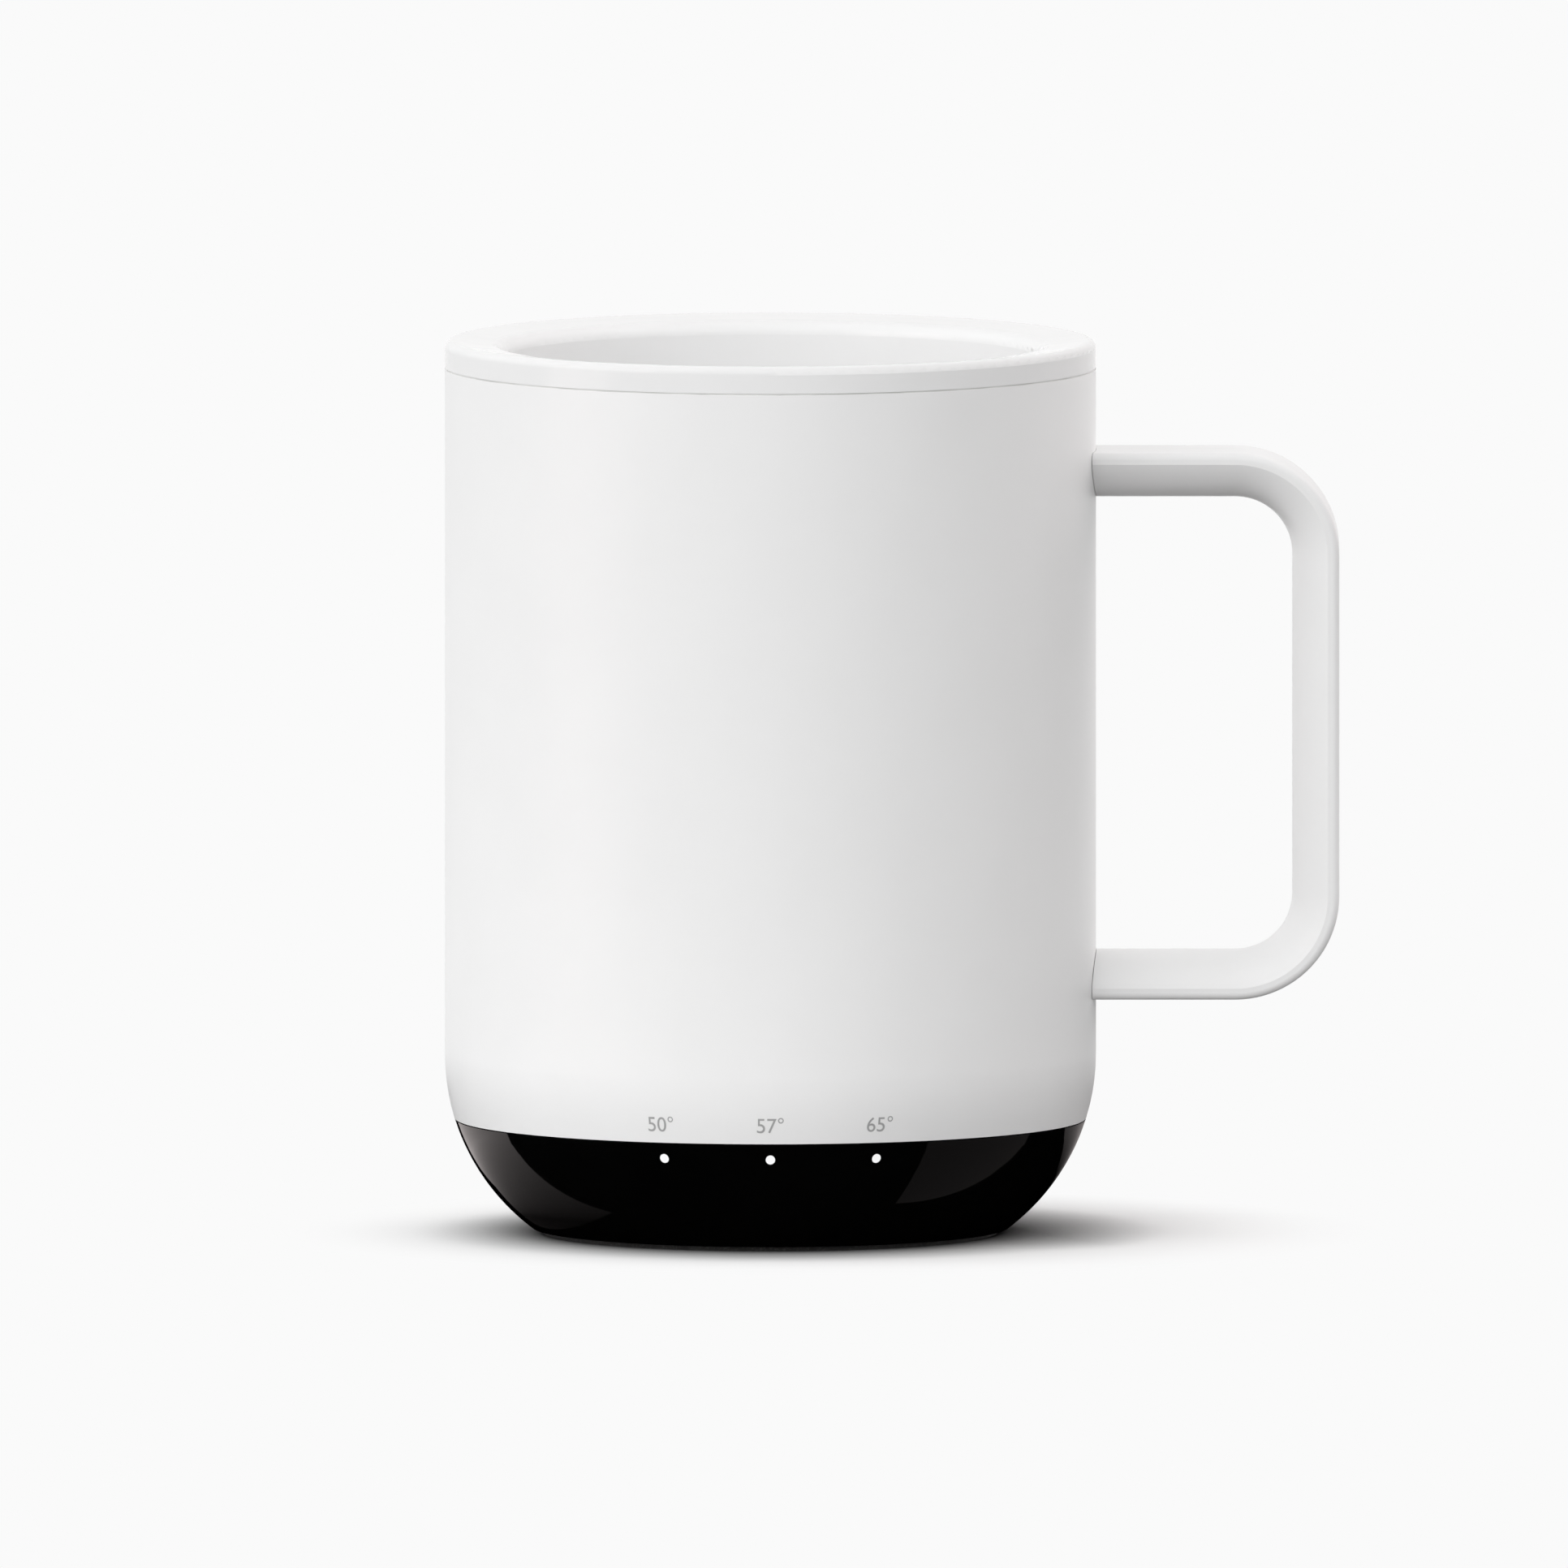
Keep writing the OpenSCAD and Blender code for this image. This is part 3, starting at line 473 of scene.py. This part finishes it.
def flat_sign():
    """The usual on and off sign: an open ring with a bar in its gap."""
    form = bmesh.new()
    low = math.pi / 2 + SIGN_OPENING / 2
    turn = 2 * math.pi - SIGN_OPENING
    rows = []
    for i in range(SIGN_STEPS + 1):
        a = low + turn * i / SIGN_STEPS
        rows.append([
            form.verts.new((r * math.cos(a), r * math.sin(a), 0))
            for r in (SIGN_R - SIGN_LINE / 2, SIGN_R + SIGN_LINE / 2)
        ])
    for near, far in zip(rows, rows[1:]):
        form.faces.new((near[0], near[1], far[1], far[0]))
    half = SIGN_LINE / 2
    foot, head = [SIGN_R * share for share in SIGN_BAR]
    corners = ((-half, foot), (half, foot), (half, head), (-half, head))
    form.faces.new([form.verts.new((*corner, 0)) for corner in corners])
    mesh = bpy.data.meshes.new("sign")
    form.to_mesh(mesh)
    form.free()
    return mesh


def label(i, words, ink):
    """Figures on the shell above a light."""
    turn = (i - 1) * LABEL_STEP

    def place(x, y, lift):
        z = LABEL_Z + y
        r = belly(z) + lift
        a = turn + x / BODY_R
        return Vector((r * math.sin(a), -r * math.cos(a), z))

    print_on(f"label_{i + 1}", flat_text(words, LABEL_H), place, ink, "mug")


def button_sign(ink):
    """The sign under the button, upright when the mug is tipped back."""

    def place(x, y, lift):
        return Vector((x, -y, BUTTON_FACE_Z - lift))

    print_on("button_sign", flat_sign(), place, ink, "button")


def dress_prints():
    grey = finish("label_ink", (0.36, 0.36, 0.36), 0.5, tone_size=0.6, grain=0.002, grain_size=0.1)
    white = finish("sign_ink", (0.6, 0.6, 0.6), 0.5, tone_size=0.6, grain=0.002, grain_size=0.1)
    for i, words in enumerate(LABELS):
        label(i, words, grey)
    button_sign(white)


# Stage

FLOOR_R = 0.3
FLOOR_UNDER = 0.3 * MM
RING_SIDES = 128

# Colour of the floor, and the painted contact shadow that darkens it near the mug
FLOOR_PALE = 0.86
PAINTED_SHADOW_REACH = 18 * MM
PAINTED_SHADOW_SAMPLES = 16
PAINTED_SHADOW_TONE = 0.02
PAINTED_SHADOW_OPEN = 0.72
# Direction in which the painted shadow is deeper, from and to which distances along it, and by how much
LEAN = (1.0, 0.5, 0.0)
LEAN_FROM = 18 * MM
LEAN_TO = 32 * MM
PAINTED_SHADOW_DROP = 0.17
# Ellipse that the shadow stays in, and the share of it without a fade
SHADOW_CENTRE = (8 * MM, 0, 0)
SHADOW_SIDES = (68 * MM, 62 * MM, 1.0)
SHADOW_FULL = 0.55

# Light that the floor sends up, and the painted bounce light added near the mug's left side, fading by shares
# of the ellipse
FLOOR_BOUNCE = 0.35
BOUNCE_LEFT = 0.45
BOUNCE_SPAN = 40 * MM
BOUNCE_REACH = (1.0, 1.8)


def ring_mesh(name, inner, outer):
    """A flat ring on the floor, as one strip of faces."""
    form = bmesh.new()
    turns = [2 * math.pi * i / RING_SIDES for i in range(RING_SIDES)]
    rows = [
        [form.verts.new((r * math.cos(a), r * math.sin(a), 0)) for a in turns] for r in (inner, outer)
    ]
    for i in range(RING_SIDES):
        j = (i + 1) % RING_SIDES
        form.faces.new((rows[0][i], rows[1][i], rows[1][j], rows[0][j]))
    mesh = bpy.data.meshes.new(name)
    form.to_mesh(mesh)
    form.free()
    return mesh


def picture_rays(tree):
    """1 for the rays that show the background: from the camera, off gloss or through glass."""
    path = tree.nodes.new("ShaderNodeLightPath")
    first = new_node(tree, "ShaderNodeMath", operation="MAXIMUM")
    both = new_node(tree, "ShaderNodeMath", operation="MAXIMUM")
    tree.links.new(path.outputs["Is Camera Ray"], first.inputs[0])
    tree.links.new(path.outputs["Is Glossy Ray"], first.inputs[1])
    tree.links.new(first.outputs["Value"], both.inputs[0])
    tree.links.new(path.outputs["Is Transmission Ray"], both.inputs[1])
    return both.outputs["Value"]


def mixed(tree, share, first, second):
    """A shader between two, by a share."""
    mix = tree.nodes.new("ShaderNodeMixShader")
    tree.links.new(share, mix.inputs["Fac"])
    tree.links.new(first, mix.inputs[1])
    tree.links.new(second, mix.inputs[2])
    return mix.outputs["Shader"]


def floor_material():
    """Matt floor that keeps the shadow near the mug and runs out into the plain background.

    The shadow is partly real and partly a painted shadow in the floor's colour, deeper to the right and back,
    and the light that the floor sends up is painted stronger on the left, as painted bounce light. The floor
    is clear from below, so that the underside can be seen.
    """
    made = bpy.data.materials.new("floor")
    made.use_nodes = True
    tree = made.node_tree
    tree.nodes.remove(tree.nodes["Principled BSDF"])
    pale = tree.nodes.new("ShaderNodeBsdfDiffuse")
    # The floor's colour is darkened where the mug closes it in, as a painted contact shadow on top of its
    # real shadow, and more to the right and back.
    room = new_node(
        tree, "ShaderNodeAmbientOcclusion", {"Distance": PAINTED_SHADOW_REACH}, samples=PAINTED_SHADOW_SAMPLES
    )
    painted_shadow = tree.nodes.new("ShaderNodeValToRGB")
    painted_shadow.color_ramp.elements[0].color = (*[FLOOR_PALE * PAINTED_SHADOW_TONE] * 3, 1)
    painted_shadow.color_ramp.elements[1].color = (*[FLOOR_PALE] * 3, 1)
    painted_shadow.color_ramp.elements[1].position = PAINTED_SHADOW_OPEN
    bounce = tree.nodes.new("ShaderNodeBsdfDiffuse")
    glow = new_node(tree, "ShaderNodeEmission", {"Strength": BACKGROUND})
    clear = tree.nodes.new("ShaderNodeBsdfTransparent")
    spot = tree.nodes.new("ShaderNodeNewGeometry")
    shift = new_node(tree, "ShaderNodeVectorMath", {1: SHADOW_CENTRE}, operation="SUBTRACT")
    scale = new_node(tree, "ShaderNodeVectorMath", {1: SHADOW_SIDES}, operation="DIVIDE")
    reach = new_node(tree, "ShaderNodeVectorMath", operation="LENGTH")
    fade = new_node(
        tree, "ShaderNodeMapRange", {"From Min": SHADOW_FULL, "From Max": 1.0},
        interpolation_type="SMOOTHSTEP",
    )
    lean = new_node(tree, "ShaderNodeVectorMath", {1: LEAN}, operation="DOT_PRODUCT")
    closed = new_node(tree, "ShaderNodeMath", operation="SUBTRACT")
    parts = tree.nodes.new("ShaderNodeSeparateXYZ")
    local = new_node(tree, "ShaderNodeMath", operation="MULTIPLY")
    total = new_node(tree, "ShaderNodeMath", {1: FLOOR_BOUNCE}, operation="ADD")
    link = tree.links.new
    link(spot.outputs["Position"], lean.inputs[0])
    link(room.outputs["AO"], closed.inputs[0])
    link(ranged(tree, lean.outputs["Value"], LEAN_FROM, LEAN_TO, 0, PAINTED_SHADOW_DROP), closed.inputs[1])
    link(closed.outputs["Value"], painted_shadow.inputs["Fac"])
    link(spot.outputs["Position"], parts.inputs["Vector"])
    # Painted bounce light: the floor's colour for the light that it sends up is brighter on the left.
    side = ranged(tree, parts.outputs["X"], -BOUNCE_SPAN, BOUNCE_SPAN, BOUNCE_LEFT, 0)
    link(side, local.inputs[0])
    link(ranged(tree, reach.outputs["Value"], *BOUNCE_REACH, 1, 0), local.inputs[1])
    link(local.outputs["Value"], total.inputs[0])
    link(total.outputs["Value"], bounce.inputs["Color"])
    link(spot.outputs["Position"], shift.inputs[0])
    link(shift.outputs["Vector"], scale.inputs[0])
    link(scale.outputs["Vector"], reach.inputs[0])
    link(reach.outputs["Value"], fade.inputs["Value"])
    link(painted_shadow.outputs["Color"], pale.inputs["Color"])
    shown = mixed(tree, fade.outputs["Result"], pale.outputs["BSDF"], glow.outputs["Emission"])
    above = mixed(tree, picture_rays(tree), bounce.outputs["BSDF"], shown)
    both = mixed(tree, spot.outputs["Backfacing"], above, clear.outputs["BSDF"])
    link(both, tree.nodes["Material Output"].inputs["Surface"])
    return made


def lay_floor():
    """A pale floor, open under the foot ring, so that the underside has light."""
    mesh = ring_mesh("floor", FOOT_OUT_R - FLOOR_UNDER, FLOOR_R)
    mesh.materials.append(floor_material())
    piece = bpy.data.objects.new("floor", mesh)
    bpy.context.scene.collection.objects.link(piece)


# Light and camera

# Radiance of the light from all round, by the sine of the height above the horizon
AMBIENT = ((-1.0, 0.8), (-0.45, 0.8), (-0.35, 0.0), (0.0, 0.0), (0.35, 1.85), (0.7, 0.05), (1.0, 0.25))

PLAIN = (1.0, 1.0, 1.0)
WARM = (1.0, 0.92, 0.91)
LAMP_AWAY = 0.9
# Name, degrees from the front and above the horizon, sides, radiance and tint of each lamp
LAMPS = (
    ("front", -25, 42, (0.8, 0.6), 2.2, PLAIN),
    ("key", -28, 18, (1.0, 0.6), 1.0, PLAIN),
    ("left_edge", -120, 15, (0.6, 1.0), 1.35, PLAIN),
    ("right_edge", 120, 28, (0.6, 0.9), 1.7, WARM),
    ("back", 135, 56, (0.9, 0.8), 0.4, PLAIN),
)

CARD_LIFT = 0.2 * MM
FLAG_IN_R = 29 * MM
FLAG_OUT_R = 200 * MM
# Each card on the floor: name, corners, radiance at two distances from the axis, and those distances
CARDS = (
    (
        "left_card", ((-22, -26), (-30, -6), (-39, 12), (-76, 160), (-170, 160), (-170, 60)),
        (0.015, 0.72), (32, 60),
    ),
    ("right_card", ((18.5, -31), (72, -59), (70, 0)), (0.12, 0.12), (32, 60)),
    (
        "edge_card", ((36, 19), (65, 24), (150, 70), (128, 160), (60, 190), (20, 190)),
        (0, 0.3), (48, 85),
    ),
)
# Name of each upright panel, the turns and heights that it lies between, and its radiance
PANELS = (
    ("wide_panel", (-84, -58), (-0.1, 0.7), 2.2),
    ("narrow_panel", (-54, -42), (0.12, 0.7), 2.6),
)


def toward(turn, rise):
    """Direction from the mug at an angle from the front, counted to the right, and above the horizon."""
    return Vector((math.sin(turn) * math.cos(rise), -math.cos(turn) * math.cos(rise), math.sin(rise)))


def softbox(name, turn, rise, size, radiance, tint):
    """An area lamp that faces the middle of the mug, at angles in degrees, and that no gloss shows."""
    lamp = bpy.data.lights.new(name, "AREA")
    lamp.color = tint
    lamp.shape = "RECTANGLE"
    lamp.size, lamp.size_y = size
    lamp.energy = radiance * math.pi * size[0] * size[1]
    piece = bpy.data.objects.new(name, lamp)
    middle = Vector((0, 0, MUG_H / 2))
    direction = toward(math.radians(turn), math.radians(rise))
    piece.location = middle + direction * LAMP_AWAY
    piece.rotation_euler = direction.to_track_quat("Z", "Y").to_euler()
    piece.visible_camera = False
    piece.visible_glossy = False
    bpy.context.scene.collection.objects.link(piece)


def flat_mesh(name, corners):
    """A flat shape on the floor, from its corners in millimetres."""
    mesh = bpy.data.meshes.new(name)
    mesh.from_pydata([(x * MM, y * MM, 0) for x, y in corners], [], [range(len(corners))])
    return mesh


def upright_mesh(name, turns, heights):
    """An upright panel as far away as the lamps, between two turns in degrees and two heights."""
    low, high = heights
    first, last = [toward(math.radians(turn), 0) * LAMP_AWAY for turn in turns]
    corners = [
        (first.x, first.y, low), (last.x, last.y, low), (last.x, last.y, high), (first.x, first.y, high),
    ]
    mesh = bpy.data.meshes.new(name)
    mesh.from_pydata(corners, [], [range(4)])
    return mesh


def gloss_card(mesh, lift, radiance, reach=(1, 2), receivers=None):
    """A card that only gloss shows, of all pieces or of some, with a radiance for each of two distances.

    The distances are from the mug's axis, in millimetres, and don't matter where both radiances are the
    same. A card without light is a dark flag.
    """
    made = bpy.data.materials.new(mesh.name)
    made.use_nodes = True
    tree = made.node_tree
    tree.nodes.remove(tree.nodes["Principled BSDF"])
    glow = new_node(tree, "ShaderNodeEmission", {"Color": (*WARM, 1)})
    spot = tree.nodes.new("ShaderNodeNewGeometry")
    away = new_node(tree, "ShaderNodeVectorMath", operation="LENGTH")
    tree.links.new(spot.outputs["Position"], away.inputs[0])
    near, far = [r * MM for r in reach]
    tree.links.new(ranged(tree, away.outputs["Value"], near, far, *radiance), glow.inputs["Strength"])
    tree.links.new(glow.outputs["Emission"], tree.nodes["Material Output"].inputs["Surface"])
    mesh.materials.append(made)
    piece = bpy.data.objects.new(mesh.name, mesh)
    piece.location.z = lift
    piece.visible_camera = False
    piece.visible_diffuse = False
    piece.visible_transmission = False
    piece.visible_shadow = False
    piece.light_linking.receiver_collection = receivers
    bpy.context.scene.collection.objects.link(piece)


def set_cards():
    """A dark flag and three dim cards that show in the base, and two panels for the pale pieces."""
    base = bpy.data.collections.new("base_gloss")
    base.objects.link(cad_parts["base_shell"])
    gloss_card(ring_mesh("dark_flag", FLAG_IN_R, FLAG_OUT_R), CARD_LIFT, (0, 0), receivers=base)
    for name, corners, radiance, reach in CARDS:
        gloss_card(flat_mesh(name, corners), 2 * CARD_LIFT, radiance, reach, base)
    for name, turns, heights, radiance in PANELS:
        gloss_card(upright_mesh(name, turns, heights), 0, (radiance, radiance))


def light_world():
    """A plain background for the picture, and soft light from all round, most of it from low angles."""
    world = bpy.data.worlds.new("studio")
    bpy.context.scene.world = world
    world.use_nodes = True
    tree = world.node_tree
    link = tree.links.new
    ambient = tree.nodes["Background"]
    plain = new_node(tree, "ShaderNodeBackground", {"Color": (1, 1, 1, 1), "Strength": BACKGROUND})
    where = tree.nodes.new("ShaderNodeTexCoord")
    parts = tree.nodes.new("ShaderNodeSeparateXYZ")
    ramp = tree.nodes.new("ShaderNodeValToRGB")
    stops = ramp.color_ramp.elements
    for i, (height, radiance) in enumerate(AMBIENT):
        stop = stops[i] if i < len(stops) else stops.new(1.0)
        stop.position = (height + 1) / 2
        stop.color = (radiance, radiance, radiance, 1)
    link(where.outputs["Generated"], parts.inputs["Vector"])
    link(ranged(tree, parts.outputs["Z"], -1, 1), ramp.inputs["Fac"])
    link(ramp.outputs["Color"], ambient.inputs["Color"])
    sky = mixed(tree, picture_rays(tree), ambient.outputs["Background"], plain.outputs["Background"])
    link(sky, tree.nodes["World Output"].inputs["Surface"])


def set_camera():
    """A long-lens view from the front, a little above the horizon."""
    lens = bpy.data.cameras.new("camera")
    lens.type = "ORTHO"
    lens.ortho_scale = PHOTO_SIDE / PX_PER_MM * MM
    lens.clip_end = CAMERA_REACH
    eye = bpy.data.objects.new("camera", lens)
    back = toward(0, CAMERA_TILT)
    eye.location = Vector((CENTRE_X, 0, CENTRE_Z)) + back * CAMERA_AWAY
    eye.rotation_euler = back.to_track_quat("Z", "Y").to_euler()
    bpy.context.scene.collection.objects.link(eye)
    bpy.context.scene.camera = eye


bpy.context.scene.view_settings.view_transform = "Standard"
set_camera()
lay_floor()
light_world()
for lamp in LAMPS:
    softbox(*lamp)
set_cards()
dress_outside()
dress_underside()
dress_lights()
dress_power()
dress_heater()
dress_prints()
